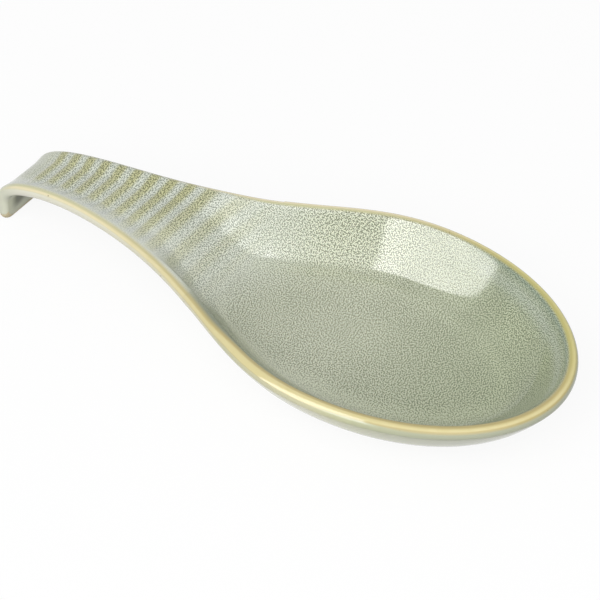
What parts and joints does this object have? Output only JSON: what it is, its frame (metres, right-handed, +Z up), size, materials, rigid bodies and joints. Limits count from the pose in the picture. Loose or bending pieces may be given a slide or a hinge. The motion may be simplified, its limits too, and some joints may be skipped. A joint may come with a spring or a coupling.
{
  "type": "spoon rest",
  "caption": "Glazed stoneware spoon rest: an oval bowl that drains a cooking spoon, a ribbed trough handle and a hooked handle end that stands on the table.",
  "frame": {"origin": "on the table, under the middle of the length and width", "axes": "+X from the hook to the nose of the bowl, +Y across the bowl, +Z up"},
  "size_m": [0.2419, 0.1058, 0.0261],
  "materials": {
    "bare_stoneware": "unglazed fired stoneware, cream, dry and slightly gritty",
    "sage_glaze": "glossy sage-green reactive glaze with fine dark speckle, tan on the rib crests and bluish where it pools",
    "honey_glaze": "glossy honey-tan glaze, where the coat ran thin over the edge",
    "pale_glaze": "glossy pale sage glaze with a few brown iron specks"
  },
  "bodies": {
    "root": {"stoneware_body": "bare_stoneware", "face_glaze": "sage_glaze", "rim_band": "honey_glaze", "underside_glaze": "pale_glaze"}
  },
  "joints": []
}
